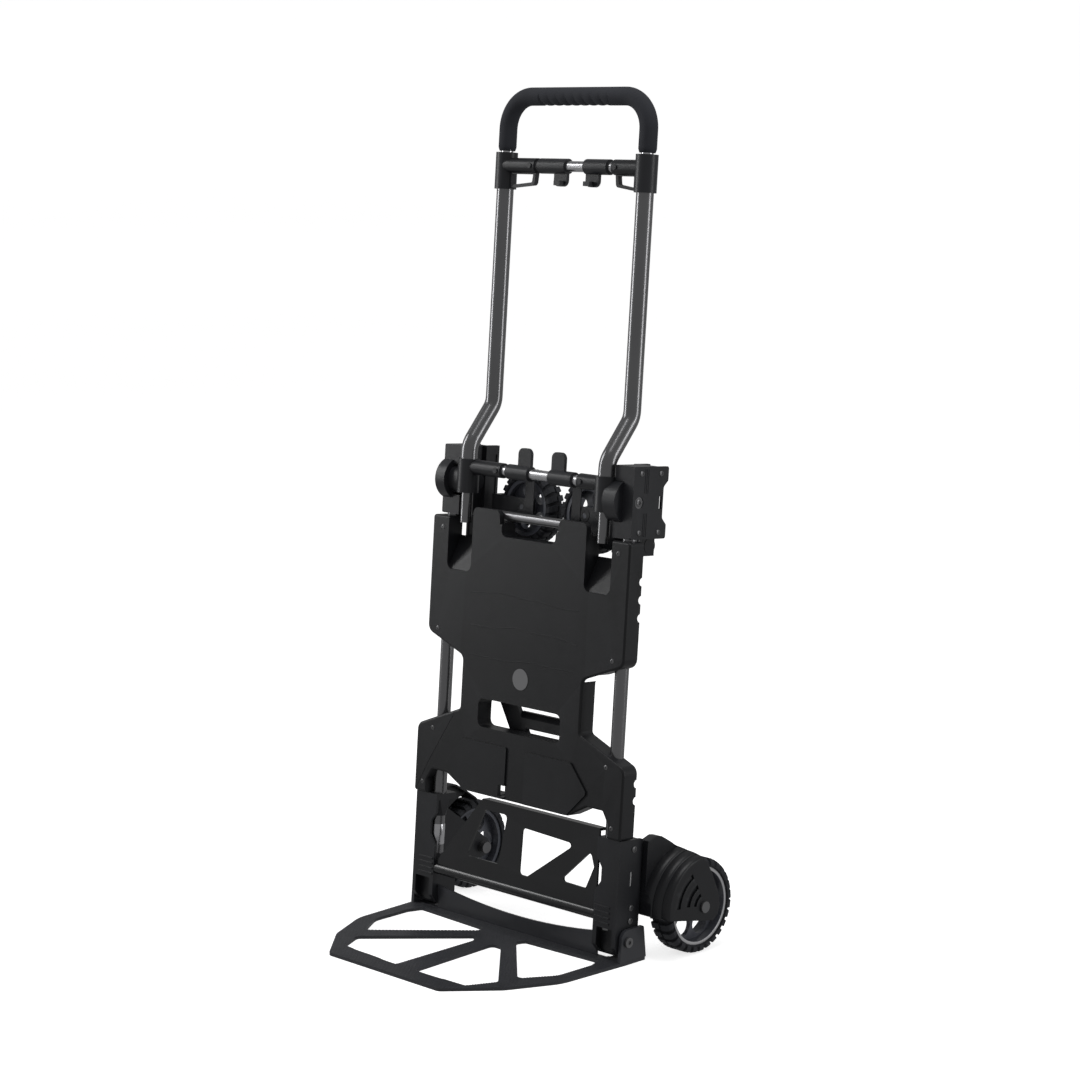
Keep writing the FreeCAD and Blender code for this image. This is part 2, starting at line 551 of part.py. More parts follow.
def cross_rod(v, w):
    return rod((-ROD_END, v, w), X_AXIS, ROD_R, 2 * ROD_END)


def handle_rivets():
    """Rivets that hold the cross rods in their arms."""
    rivets = []
    for v, w, ends in ((HIGH_ROD_V, HIGH_ROD_W, UPPER_ARM_END), (LOW_ROD_V, LOW_ROD_W, LOWER_ARM_END)):
        for side, end in ends.items():
            x = end + RIVET_INSET
            shank = rod((x, v - ARM_R, w), Y_AXIS, RIVET_R, ARM_R - ROD_R)
            head = rod((x, v - ARM_R - 1.4, w), Y_AXIS, RIVET_HEAD_R, 2)
            arm = rod((x - ARM_R, v, w), X_AXIS, ARM_R, 2 * ARM_R)
            rivet = join([shank, head.cut(arm)]).cut(cross_rod(v, w))
            rivets.append(on_side(rivet, side))
    return Part.Compound(rivets)


def handle_stubs():
    """Steel ends of the handle below the lower sleeves."""
    stub = rod((HANDLE_X, LOW_V, STUB_LOW), Z_AXIS, STUB_R, PIVOT_W + 2 - STUB_LOW)
    return Part.Compound([stub, mirrored(stub)])


def hook(side, v, w, ends, reach, nose):
    """Strap hook that turns on a cross rod; its tab reaches up or down from the rod."""
    inner, outer = ends[side]
    barrel = rod((inner, v, w), X_AXIS, BARREL_R, outer - inner)
    tip = w + reach
    tab = plate([(inner, w, 0), (inner, tip, 8), (inner + TAB_WIDTH, tip, 8), (inner + TAB_WIDTH, w, 0)],
                v - TAB_THICK / 2, v + TAB_THICK / 2)
    parts = [barrel, tab]
    if nose:
        low, high = sorted((tip, tip - math.copysign(7, reach)))
        parts.append(box(inner + 4, inner + 15, v - nose, v, low + 1, high))
    bore = rod((inner - 1, v, w), X_AXIS, ROD_R + FIT, outer - inner + 2)
    return on_side(join(parts).cut(bore), side)


# ---- grip -----------------------------------------------------------------------------------

def grip_tube():
    points = [(-HANDLE_X, HIGH_V, GRIP_TUBE_LOW), (-HANDLE_X, HIGH_V, GRIP_TOP),
              (HANDLE_X, HIGH_V, GRIP_TOP), (HANDLE_X, HIGH_V, GRIP_TUBE_LOW)]
    return bent_bar(points, GRIP_TUBE_R, GRIP_BEND)


def grip_foam():
    points = [(-HANDLE_X, HIGH_V, GRIP_LEG), (-HANDLE_X, HIGH_V, GRIP_TOP),
              (HANDLE_X, HIGH_V, GRIP_TOP), (HANDLE_X, HIGH_V, GRIP_LEG)]
    return bent_bar(points, GRIP_R, GRIP_BEND).cut(grip_tube())


# ---- wheels ---------------------------------------------------------------------------------

def tyre(centre, direction, radius, width, bead):
    """Solid tyre with rounded shoulders."""
    cx, cy, cz = centre
    start = V(cx, cy, cz) - direction * (width / 2)
    body = Part.makeCylinder(radius, width, start, direction)
    rims = [edge for edge in body.Edges if edge.Curve.TypeId == "Part::GeomCircle"]
    body = body.makeFillet(5, rims)
    return body.cut(Part.makeCylinder(bead, width, start, direction))


def rim(centre, direction, bead, width, hub, bore, spokes):
    """Spoked rim: outer band, hub and spokes."""
    cx, cy, cz = centre
    start = V(cx, cy, cz) - direction * (width / 2)
    band = Part.makeCylinder(bead, width, start, direction)
    band = band.cut(Part.makeCylinder(bead - 5, width, start, direction))
    core = Part.makeCylinder(hub, width, start, direction)
    disc_start = V(cx, cy, cz) - direction * 3
    disc = Part.makeCylinder(bead - 2, 6, disc_start, direction)
    middle = (hub + bead - 5) / 2
    across = direction.cross(Z_AXIS).normalize()
    holes = []
    for index in range(spokes):
        angle = 2 * math.pi * index / spokes
        offset = across * (middle * math.cos(angle)) + Z_AXIS * (middle * math.sin(angle))
        radius = (bead - 5 - hub) / 2 - 1.5
        holes.append(Part.makeCylinder(radius, 10, V(cx, cy, cz) + offset - direction * 5, direction))
    body = join([band, core, remove(disc, holes)])
    return body.cut(Part.makeCylinder(bore, width + 2, start - direction, direction))


def rear_arm(side):
    """Bracket from the fold pin to the wheel's inner side."""
    knuckle = rod((REAR_HINGE_X, REAR_HINGE_V, 60), Z_AXIS, 7.5, 92)
    web = side_plate([(REAR_HINGE_V, 66, 0), (REAR_V, REAR_W - 16, 16), (REAR_V + 16, REAR_W, 12),
                      (REAR_V, REAR_W + 16, 16), (REAR_HINGE_V, 146, 0)], 178, 183)
    boss = rod((178, REAR_V, REAR_W), X_AXIS, 14, REAR_X - REAR_WIDTH / 2 - 1 - 178)
    body = join([knuckle, web, boss])
    cutters = [rod((REAR_HINGE_X, REAR_HINGE_V, 50), Z_AXIS, HINGE_PIN_R + FIT, 120),
               rod((170, REAR_V, REAR_W), X_AXIS, AXLE_R, 40)]
    return on_side(remove(body, cutters), side)


def cover_steps(shrink):
    """Stack of discs round the axle: the outer face steps down away from the axle."""
    base = COVER_IN - 10
    discs = [rod((base, REAR_V, REAR_W), X_AXIS, radius - shrink, face - shrink - base)
             for radius, face in COVER_STEPS]
    return join(discs)


def rear_cover(side):
    """Rounded guard over the front and top of the wheel, with three vents in its outer face."""
    outer = COVER_STEPS[0][1]
    shell = side_plate([(COVER_FRONT, 63, 3), (141, 52, 12), (153, 72, 10), (138, 108, 30), (112, 142, 16),
                        (66, 166, 14), (COVER_FRONT, 160, 5)], COVER_IN, outer).common(cover_steps(0))
    room = side_plate([(COVER_FRONT + COVER_SKIN, 40, 0), (COVER_FRONT + COVER_SKIN, 157, 4), (66, 161.5, 10),
                       (109, 138.5, 12), (132, 112, 0), (200, 112, 0), (200, 40, 0)],
                      COVER_IN - 5, outer - COVER_SKIN)
    room = room.common(cover_steps(COVER_SKIN))
    room_depth = outer - COVER_SKIN - COVER_IN + 5
    wheel_room = rod((COVER_IN - 5, REAR_V, REAR_W), X_AXIS, REAR_RADIUS + 1.5, room_depth)
    cutters = [room, wheel_room, rod((outer - 10, REAR_V, REAR_W), X_AXIS, AXLE_R, 20)]
    for radius, width, low, high in COVER_VENTS:
        band = ring((outer - 10, REAR_V, REAR_W), X_AXIS, radius, radius - width, 20)
        cutters.append(band.common(box(outer - 10, outer + 10, 40, REAR_V, REAR_W + low, REAR_W + high)))
    body = remove(shell, cutters)
    return on_side(max(body.Solids, key=lambda solid: solid.Volume), side)


def rear_axle(side):
    face = COVER_STEPS[0][1]
    shank = rod((169, REAR_V, REAR_W), X_AXIS, AXLE_R, face - 169)
    inner_head = rod((169, REAR_V, REAR_W), X_AXIS, 8, 9)
    outer_head = rod((face, REAR_V, REAR_W), X_AXIS, 7.5, 2.5)
    return on_side(join([shank, inner_head, outer_head]), side)


def front_arm(side):
    """Block on the fold pin that holds the caster's stem."""
    barrel = rod((FRONT_HINGE_X, FRONT_HINGE_V, 512), Z_AXIS, 9.5, 31)
    body = box(136, 157, FRONT_HINGE_V, FRONT_V + 9, 520, 543)
    boss = rod((CHANNEL_IN, FRONT_V, FRONT_STEM_W), X_AXIS, 10, 23)
    whole = join([barrel, body, boss])
    cutters = [rod((FRONT_HINGE_X, FRONT_HINGE_V, 500), Z_AXIS, HINGE_PIN_R + FIT, 60),
               rod((120, FRONT_V, FRONT_STEM_W), X_AXIS, STEM_R + FIT, 33)]
    return on_side(remove(whole, cutters), side)


def front_fork(side):
    """Caster fork with its stem, lying across the frame while folded."""
    stem = rod((114, FRONT_V, FRONT_STEM_W), X_AXIS, STEM_R, 38)
    reach = FORK_GAP + FORK_SKIN
    crown = box(109, 114, FRONT_V - reach, FRONT_V + reach, 520, 574)
    cheeks = []
    for v0 in (FRONT_V - reach, FRONT_V + FORK_GAP):
        cheek = plate([(114, 523, 3), (114, 574, 3), (92, 574, 8), (46, FRONT_W + 12, 10),
                       (36, FRONT_W + 12, 3),
                       (36, FRONT_W - 12, 10), (60, FRONT_W - 12, 10), (92, 523, 6)], v0, v0 + FORK_SKIN)
        cheeks.append(cheek)
    body = join([stem, crown] + cheeks)
    axle = rod((FRONT_X, FRONT_V - 30, FRONT_W), Y_AXIS, 4 + FIT, 60)
    return on_side(body.cut(axle), side)


def front_rim(side):
    """Front rim with its axle pin, which turns in the fork."""
    body = rim((FRONT_X, FRONT_V, FRONT_W), Y_AXIS, FRONT_BEAD, FRONT_WIDTH - 4, FRONT_HUB, 4, FRONT_SPOKES)
    reach = FORK_GAP + FORK_SKIN
    pin = rod((FRONT_X, FRONT_V - reach, FRONT_W), Y_AXIS, 4, 2 * reach)
    return on_side(join([body, pin]), side)


def build():
    nodes = {
        "deck_panel": lean(deck_panel()),
        "corner_cover": lean(corner_cover()),
        "panel_screws": lean(panel_screws()),
        "emblem_disc": lean(emblem()),
        "web_plate": lean(web_plate()),
        "window_bracket": lean(window_bracket()),
        "top_bar": lean(top_bar()),
        "side_screws": lean(side_screws()),
        "pivot_pins": lean(pivot_pins()),
        "wheel_hinge_pins": lean(wheel_hinge_pins()),
        "toe_hinge_bolts": upright(toe_hinge_bolts()),
        "toe_plate": upright(toe_plate()),
        "upper_rod": lean(cross_rod(HIGH_ROD_V, HIGH_ROD_W)),
        "lower_rod": lean(cross_rod(LOW_ROD_V, LOW_ROD_W)),
        "handle_rivets": lean(handle_rivets()),
        "handle_stubs": lean(handle_stubs()),
        "grip_tube": lean(grip_tube()),
        "grip_foam": lean(grip_foam()),
    }
    bushes = []
    for side, name in ((1, "right"), (-1, "left")):
        rear_centre = (REAR_X, REAR_V, REAR_W)
        front_centre = (FRONT_X, FRONT_V, FRONT_W)
        rear_tyre = tyre(rear_centre, X_AXIS, REAR_RADIUS, REAR_WIDTH, REAR_BEAD)
        rear_rim = rim(rear_centre, X_AXIS, REAR_BEAD, REAR_WIDTH - 6, REAR_HUB, AXLE_R + FIT, REAR_SPOKES)
        front_tyre = tyre(front_centre, Y_AXIS, FRONT_RADIUS, FRONT_WIDTH, FRONT_BEAD)
        bushes += post_bushes(side)
        nodes.update({
            "frame_tube_" + name: lean(frame_tube(side)),
            "post_" + name: lean(post(side)),
            "block_" + name: lean(block(side)),
            "block_cover_" + name: lean(block_cover(side)),
            "toe_bracket_" + name: upright(toe_bracket(side)),
            "handle_tube_" + name: lean(handle_tube(side)),
            "upper_sleeve_" + name: lean(upper_sleeve(side)),
            "lower_sleeve_" + name: lean(lower_sleeve(side)),
            "upper_hook_" + name: lean(hook(side, HIGH_ROD_V, HIGH_ROD_W, UPPER_HOOK, UPPER_TAB, NOSE)),
            "lower_hook_" + name: lean(hook(side, LOW_ROD_V, LOW_ROD_W, LOWER_HOOK, LOWER_TAB, 0)),
            "rear_arm_" + name: lean(rear_arm(side)),
            "rear_cover_" + name: lean(rear_cover(side)),
            "rear_axle_" + name: lean(rear_axle(side)),
            "rear_tyre_" + name: lean(on_side(rear_tyre, side)),
            "rear_rim_" + name: lean(on_side(rear_rim, side)),
            "front_arm_" + name: lean(front_arm(side)),
            "front_fork_" + name: lean(front_fork(side)),
            "front_tyre_" + name: lean(on_side(front_tyre, side)),
            "front_rim_" + name: lean(front_rim(side)),
        })
    nodes["post_bushes"] = lean(Part.Compound(bushes))
    return nodes


os.makedirs("parts", exist_ok=True)
for node, shape in build().items():
    shape.exportStep("parts/" + node + ".step")
    print(node, shape.isValid(), len(shape.Solids), round(shape.Volume))
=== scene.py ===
import json
import math

import bmesh
import bpy
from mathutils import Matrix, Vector


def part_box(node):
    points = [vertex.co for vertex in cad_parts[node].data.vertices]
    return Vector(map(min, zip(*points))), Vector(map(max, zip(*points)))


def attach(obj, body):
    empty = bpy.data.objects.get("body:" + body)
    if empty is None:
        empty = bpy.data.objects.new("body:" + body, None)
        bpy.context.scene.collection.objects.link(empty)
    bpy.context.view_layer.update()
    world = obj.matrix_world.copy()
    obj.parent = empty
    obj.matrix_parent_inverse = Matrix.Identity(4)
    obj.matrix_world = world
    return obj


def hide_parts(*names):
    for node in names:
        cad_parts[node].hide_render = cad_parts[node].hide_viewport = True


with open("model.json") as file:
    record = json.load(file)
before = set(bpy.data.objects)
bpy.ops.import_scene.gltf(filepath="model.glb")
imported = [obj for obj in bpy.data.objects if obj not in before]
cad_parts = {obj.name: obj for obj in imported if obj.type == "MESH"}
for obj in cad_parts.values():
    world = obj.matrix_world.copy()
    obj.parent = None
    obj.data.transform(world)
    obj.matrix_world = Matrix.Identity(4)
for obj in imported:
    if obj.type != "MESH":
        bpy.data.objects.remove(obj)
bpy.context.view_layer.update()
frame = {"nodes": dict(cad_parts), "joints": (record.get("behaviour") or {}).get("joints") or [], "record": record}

MM = 0.001        # lengths below are millimetres unless they are said to be metres
JOINTS = {joint["name"]: joint for joint in frame["joints"]}
SIDES = {"left": -1, "right": 1}

# ---- the leaning frame's own axes, read from the joints ---------------------------------------
# u runs across, v back from the deck's front face and w up along the frame
ACROSS = Vector((1, 0, 0))
UP = Vector(JOINTS["grip_slide"]["axis"]).normalized()
DEPTH = Vector(JOINTS["front_wheel_spin_right"]["axis"]).normalized()
PIVOT_V, PIVOT_W = 20.0, 590.4        # axis that the handle folds about
FRAME_ZERO = Vector(JOINTS["handle_fold"]["pos_m"]) - DEPTH * PIVOT_V * MM - UP * PIVOT_W * MM

# faces and axes of the CAD that details are set on
TUBE_U, TUBE_V = 161, 19.5
BLOCK_FACE, POST_FACE = 173.3, 190.0
REAR_BEAD, FRONT_BEAD = 52.0, 38.0
FRONT_TYRE_R, FRONT_TYRE_W = 49.9, 28.0


def place(u, v, w):
    """Point in the leaning frame, in millimetres, as a point in metres."""
    return FRAME_ZERO + ACROSS * (u * MM) + DEPTH * (v * MM) + UP * (w * MM)


# ---- mesh helpers -----------------------------------------------------------------------------

MERGE_DISTANCE = 0.02
SHARP_ANGLE, BEVEL_ANGLE = math.radians(32), math.radians(35)


def new_piece(name, bm, material, body, nodes=(), smooth=True):
    """Turns a bmesh into a piece that rides on a body."""
    bmesh.ops.remove_doubles(bm, verts=bm.verts, dist=MERGE_DISTANCE * MM)
    bmesh.ops.recalc_face_normals(bm, faces=bm.faces)
    mesh = bpy.data.meshes.new(name)
    bm.to_mesh(mesh)
    bm.free()
    for polygon in mesh.polygons:
        polygon.use_smooth = smooth
    piece = bpy.data.objects.new(name, mesh)
    bpy.context.scene.collection.objects.link(piece)
    mesh.materials.append(material)
    if smooth:
        mesh.set_sharp_from_angle(angle=SHARP_ANGLE)
    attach(piece, body)
    if nodes:
        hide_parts(*nodes)
    return piece


def soften(piece, width):
    """Rounds a piece's hard edges a little."""
    bevel = piece.modifiers.new("soft_edges", "BEVEL")
    bevel.width = width * MM
    bevel.segments = 2
    bevel.limit_method = "ANGLE"
    bevel.angle_limit = BEVEL_ANGLE
    bevel.use_clamp_overlap = True


def radial(axis, start, angle):
    """Direction square to an axis, turned by an angle from a start direction."""
    side = axis.cross(start).normalized()
    return start * math.cos(angle) + side * math.sin(angle)


def revolve(bm, profile, centre, axis, start, segments):
    """Closed profile of (radius, along) points in millimetres, turned round an axis."""
    rings = []
    for index in range(segments):
        out = radial(axis, start, 2 * math.pi * index / segments)
        rings.append([bm.verts.new(centre + out * (r * MM) + axis * (z * MM)) for r, z in profile])
    for index, ring in enumerate(rings):
        after = rings[(index + 1) % segments]
        for k in range(len(profile)):
            j = (k + 1) % len(profile)
            bm.faces.new((ring[k], ring[j], after[j], after[k]))


def join_rings(bm, rings):
    """Faces between closed rings of the same number of points, one ring after another."""
    for ring, after in zip(rings, rings[1:]):
        for k in range(len(ring)):
            j = (k + 1) % len(ring)
            bm.faces.new((ring[k], ring[j], after[j], after[k]))


def bar(bm, us, vs, ws):
    """Box in the leaning frame, in millimetres."""
    corners = [bm.verts.new(place(u, v, w)) for u in us for v in vs for w in ws]
    for face in ((0, 1, 3, 2), (4, 6, 7, 5), (0, 4, 5, 1), (2, 3, 7, 6), (0, 2, 6, 4), (1, 5, 7, 3)):
        bm.faces.new([corners[k] for k in face])


# ---- materials --------------------------------------------------------------------------------

COAT_ROUGHNESS = 0.12
CLOUD_SCALE, CLOUD_DETAIL = 14, 5
CLOUD_LOW, CLOUD_HIGH = 0.3, 0.75
GLOSS_SCALE, GLOSS_DETAIL = 60, 6
GRAIN_DETAIL, GRAIN_STRENGTH = 3, 0.5
WEAR_STARTS, WEAR_FULL = 0.53, 0.64        # pointiness of an edge
WORN_GAIN, WORN_LIFT = 2.6, 0.015


def finish(name, tone, lighter, roughness, grain, depth, metallic=0.0, coat=0.0, wear=0.25,
           brushed=None, spread=0.08, shine=0.5):
    """Material with uneven tone and gloss, a fine surface grain and worn edges."""
    material = bpy.data.materials.new(name)
    material.use_nodes = True
    nodes, links = material.node_tree.nodes, material.node_tree.links
    shader = nodes["Principled BSDF"]
    shader.inputs["Metallic"].default_value = metallic
    shader.inputs["Coat Weight"].default_value = coat
    shader.inputs["Specular IOR Level"].default_value = shine
    shader.inputs["Coat Roughness"].default_value = COAT_ROUGHNESS
    where = nodes.new("ShaderNodeTexCoord")

    cloud = nodes.new("ShaderNodeTexNoise")
    cloud.inputs["Scale"].default_value = CLOUD_SCALE
    cloud.inputs["Detail"].default_value = CLOUD_DETAIL
    links.new(where.outputs["Object"], cloud.inputs["Vector"])
    tones = nodes.new("ShaderNodeValToRGB")
    tones.color_ramp.elements[0].position = CLOUD_LOW
    tones.color_ramp.elements[1].position = CLOUD_HIGH
    tones.color_ramp.elements[0].color = (*tone, 1)
    tones.color_ramp.elements[1].color = (*lighter, 1)
    links.new(cloud.outputs["Fac"], tones.inputs["Fac"])

    edge = nodes.new("ShaderNodeNewGeometry")
    worn = nodes.new("ShaderNodeMapRange")
    worn.inputs["From Min"].default_value = WEAR_STARTS
    worn.inputs["From Max"].default_value = WEAR_FULL
    worn.inputs["To Max"].default_value = wear
    links.new(edge.outputs["Pointiness"], worn.inputs["Value"])
    mixed = nodes.new("ShaderNodeMix")
    mixed.data_type = "RGBA"
    links.new(worn.outputs["Result"], mixed.inputs["Factor"])
    links.new(tones.outputs["Color"], mixed.inputs["A"])
    mixed.inputs["B"].default_value = (*[min(1, c * WORN_GAIN + WORN_LIFT) for c in lighter], 1)
    links.new(mixed.outputs["Result"], shader.inputs["Base Color"])

    gloss = nodes.new("ShaderNodeTexNoise")
    gloss.inputs["Scale"].default_value = GLOSS_SCALE
    gloss.inputs["Detail"].default_value = GLOSS_DETAIL
    links.new(where.outputs["Object"], gloss.inputs["Vector"])
    level = nodes.new("ShaderNodeMapRange")
    level.inputs["To Min"].default_value = roughness - spread
    level.inputs["To Max"].default_value = roughness + spread
    links.new(gloss.outputs["Fac"], level.inputs["Value"])
    links.new(level.outputs["Result"], shader.inputs["Roughness"])

    fine = nodes.new("ShaderNodeTexNoise")
    fine.inputs["Scale"].default_value = grain
    fine.inputs["Detail"].default_value = GRAIN_DETAIL
    vector = where.outputs["Object"]
    if brushed:
        stretch = nodes.new("ShaderNodeMapping")
        stretch.inputs["Scale"].default_value = brushed
        links.new(vector, stretch.inputs["Vector"])
        vector = stretch.outputs["Vector"]
    links.new(vector, fine.inputs["Vector"])
    bump = nodes.new("ShaderNodeBump")
    bump.inputs["Strength"].default_value = GRAIN_STRENGTH
    bump.inputs["Distance"].default_value = depth * MM
    links.new(fine.outputs["Fac"], bump.inputs["Height"])
    links.new(bump.outputs["Normal"], shader.inputs["Normal"])
    return material


def grey(value):
    """Slightly blue grey."""
    return (value * 0.95, value, value * 1.2)


def steel(value):
    """Neutral grey of bare or plated metal."""
    return (value, value, value * 1.03)


MATERIALS = {
    "deck_plastic": finish("deck_plastic", grey(0.007), grey(0.010), 0.40, 2600, 0.10, shine=0.36),
    "housing_plastic": finish("housing_plastic", grey(0.009), grey(0.014), 0.36, 2200, 0.10, shine=0.40),
    "screw_steel": finish("screw_steel", steel(0.12), steel(0.17), 0.32, 900, 0.04, metallic=0.8),
    "emblem_print": finish("emblem_print", steel(0.17), steel(0.20), 0.5, 1500, 0.03, wear=0.0),
    "web_metal": finish("web_metal", grey(0.005), grey(0.008), 0.22, 1600, 0.05, coat=0.25, shine=0.4),
    "rod_steel": finish("rod_steel", steel(0.24), steel(0.29), 0.30, 900, 0.02, metallic=0.9, spread=0.02),
    "bright_steel": finish("bright_steel", steel(0.55), steel(0.62), 0.24, 700, 0.01, metallic=1.0,
                           wear=0.0, brushed=(0.4, 6, 6), spread=0.03),
    "toe_paint": finish("toe_paint", grey(0.020), grey(0.028), 0.34, 1800, 0.10, shine=0.6),
    "grip_foam": finish("grip_foam", grey(0.032), grey(0.040), 0.80, 3200, 0.25, wear=0.0, shine=0.25),
    "handle_paint": finish("handle_paint", steel(0.17), steel(0.19), 0.24, 1400, 0.008,
                           metallic=0.9, coat=0.25, wear=0.1, spread=0.02),
    "arm_paint": finish("arm_paint", grey(0.009), grey(0.014), 0.30, 1500, 0.06, coat=0.1, shine=0.4),
    "tyre": finish("tyre", grey(0.015), grey(0.022), 0.66, 1800, 0.20, shine=0.3),
    "rim_plastic": finish("rim_plastic", grey(0.07), grey(0.095), 0.34, 1600, 0.05),
    "rim_ring": finish("rim_ring", steel(0.55), steel(0.62), 0.32, 1300, 0.03, metallic=0.6),
}


# ---- finishes and soft edges of the CAD's nodes -----------------------------------------------

ROUND_BARS = ("frame_tube", "handle_tube", "handle_stubs", "upper_rod", "lower_rod", "grip_tube",
              "wheel_hinge_pins", "pivot_pins", "top_bar", "post_bushes")
EDGE_WIDTH = {"deck_panel": 0.8, "corner_cover": 0.8, "block": 1.0, "block_cover": 0.9, "post": 1.0,
              "toe_plate": 0.5, "upper_hook": 0.9, "lower_hook": 0.9, "front_arm": 0.9}
USUAL_EDGE = 0.4


def dress_cad_nodes():
    """Every CAD node gets its slot's finish, and all but round bars get softer edges."""
    for part in frame["record"]["subparts"]:
        piece = frame["nodes"][part["node"]]
        material = MATERIALS[part["material_slot"]]
        piece.data.materials.clear()
        piece.data.materials.append(material)
        stem = part["node"].removesuffix("_left").removesuffix("_right")
        if stem not in ROUND_BARS:
            soften(piece, EDGE_WIDTH.get(stem, USUAL_EDGE))


# ---- tyres and rims ---------------------------------------------------------------------------

TREAD, TYRE_SEGMENTS, LIP_SEGMENTS = 3.2, 112, 96
REAR_BLOCKS, FRONT_BLOCKS = 28, 24
BLOCK_HALF_ARC, BLOCK_SKEW, BLOCK_TAPER = 0.36, 0.3, 0.82        # the first two as shares of the pitch


def body_of_node(node):
    """Name of the body that a node belongs to."""
    for body, nodes in frame["record"]["behaviour"]["bodies"].items():
        if node in nodes:
            return body
    raise ValueError(node)


def tread_block(bm, centre, axis, start, middle, half_arc, skew, path, carcass):
    """One tread block: a strip that runs from the side wall over the shoulder to the crown."""
    rows = []
    for points, taper in ((path, BLOCK_TAPER), (carcass, 1.0)):
        for edge in (-1, 1):
            row = []
            for k, (r, z) in enumerate(points):
                angle = middle + edge * half_arc * taper + skew * k / (len(path) - 1)
                out = radial(axis, start, angle)
                row.append(bm.verts.new(centre + out * (r * MM) + axis * (z * MM)))
            rows.append(row)
    top_low, top_high, base_low, base_high = rows
    for k in range(len(path) - 1):
        bm.faces.new((top_low[k], top_low[k + 1], top_high[k + 1], top_high[k]))
        bm.faces.new((base_low[k], base_low[k + 1], top_low[k + 1], top_low[k]))
        bm.faces.new((base_high[k], base_high[k + 1], top_high[k + 1], top_high[k]))
        bm.faces.new((base_low[k], base_low[k + 1], base_high[k + 1], base_high[k]))
    for k in (0, len(path) - 1):
        bm.faces.new((top_low[k], top_high[k], base_high[k], base_low[k]))


def tyre_piece(name, spin, node, blocks):
    """Tyre with staggered shoulder blocks."""
    joint = JOINTS[spin]
    centre, axis = Vector(joint["pos_m"]), Vector(joint["axis"]).normalized()
    low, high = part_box(node)
    rear = axis.x > 0.9
    radius = (high[2] - low[2]) / 2 / MM - 0.1 if rear else FRONT_TYRE_R
    width = (high[0] - low[0]) / MM if rear else FRONT_TYRE_W
    bead = REAR_BEAD if rear else FRONT_BEAD
    half = width / 2
    start = UP if rear else ACROSS
    crown = radius - TREAD
    bm = bmesh.new()
    profile = [(bead + 0.1, -half + 1.5), (bead + 1.5, -half + 0.2), (crown - 7, -half + 0.2),
               (crown - 2.5, -half + 2.2), (crown, -half + 6), (crown + 0.3, 0), (crown, half - 6),
               (crown - 2.5, half - 2.2), (crown - 7, half - 0.2), (bead + 1.5, half - 0.2),
               (bead + 0.1, half - 1.5)]
    revolve(bm, profile, centre, axis, start, TYRE_SEGMENTS)
    pitch = 2 * math.pi / blocks
    for hand in (-1, 1):
        path = [(radius - 9, hand * half), (radius - 4.5, hand * half), (radius - 1.2, hand * (half - 2.6)),
                (radius, hand * (half - 6)), (radius, hand * 1.5)]
        carcass = [(radius - 10, hand * (half - 1.5)), (radius - 9, hand * (half - 3)),
                   (crown - 2.5, hand * (half - 4)), (crown - 1, hand * (half - 7)),
                   (crown - 1, hand * 1.5)]
        for index in range(blocks):
            middle = pitch * (index + (0.5 if hand > 0 else 0))
            tread_block(bm, centre, axis, start, middle, pitch * BLOCK_HALF_ARC,
                        hand * pitch * BLOCK_SKEW, path, carcass)
    new_piece(name, bm, MATERIALS["tyre"], body_of_node(node), [node])


def rim_ring(name, spin, node, outward):
    """Bright lip round the rim's outer face."""
    joint = JOINTS[spin]
    centre, axis = Vector(joint["pos_m"]), Vector(joint["axis"]).normalized()
    rear = axis.x > 0.9
    bead = REAR_BEAD if rear else FRONT_BEAD
    low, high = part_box(node)
    half = (high[0] - low[0]) / 2 / MM if rear else FRONT_TYRE_W / 2 - 2
    bm = bmesh.new()
    z = half * outward
    out = 0.5 * outward
    profile = [(bead - 4.6, z - 2 * out), (bead - 4.4, z + out), (bead - 2.5, z + 2 * out),
               (bead - 0.6, z + out), (bead - 0.4, z - 2 * out)]
    revolve(bm, profile, centre, axis, UP if rear else ACROSS, LIP_SEGMENTS)
    new_piece(name, bm, MATERIALS["rim_ring"], body_of_node(node))


# ---- rear wheel covers ------------------------------------------------------------------------

# outline in v and w; ridges as (radius where the step starts, drop); vents as (inner and outer radius,
# first and last degree)
COVER_OUTLINE = [(47, 63), (50, 62.6), (141, 52), (150, 60), (153, 72), (147, 92), (136, 112), (124, 130),
                 (112, 142), (90, 155), (72, 164), (62, 165), (47, 159)]
COVER_FACE, COVER_INNER, COVER_SKIN = 233.6, 185.0, 2.4
RIDGES = [(64.5, 11.0), (69.0, 12.0), (74.0, 12.5)]
RIDGE_BLEND, RIDGE_PARTS = 4.4, 8
VENTS = [(15.5, 20.5, 8, 64), (28, 34.5, 6, 63), (46, 53, 3, 60)]
FLAT_RADII, OUTER_RADII = {0, 6, 11, 24, 40, 58}, range(80, 130, 4)
COVER_SECTORS, WALL_FROM_REACH, WALL_DEGREES = 240, 66, 205
RADIUS_SLACK = 0.01
# painted shade: a sheet of the cover's plastic just behind the vents stands in for the dark inside of the vents
SHADE_SHEET_U, SHADE_SHEET_RADII, SHADE_SHEET_DEGREES = 230.9, (12.5, 57), range(0, 73, 6)


def outline_reach(corners, centre, angle):
    """Distance from a point inside an outline to its edge, in a direction."""
    dy, dz = math.cos(angle), math.sin(angle)
    best = 0.0
    for (ay, az), (by, bz) in zip(corners, corners[1:] + corners[:1]):
        ey, ez = by - ay, bz - az
        across = dy * ez - dz * ey
        if abs(across) < 1e-9:
            continue
        t = ((ay - centre[0]) * ez - (az - centre[1]) * ey) / across
        s = ((ay - centre[0]) * dz - (az - centre[1]) * dy) / across
        if t > 0 and -1e-9 <= s <= 1 + 1e-9:
            best = max(best, t)
    return best


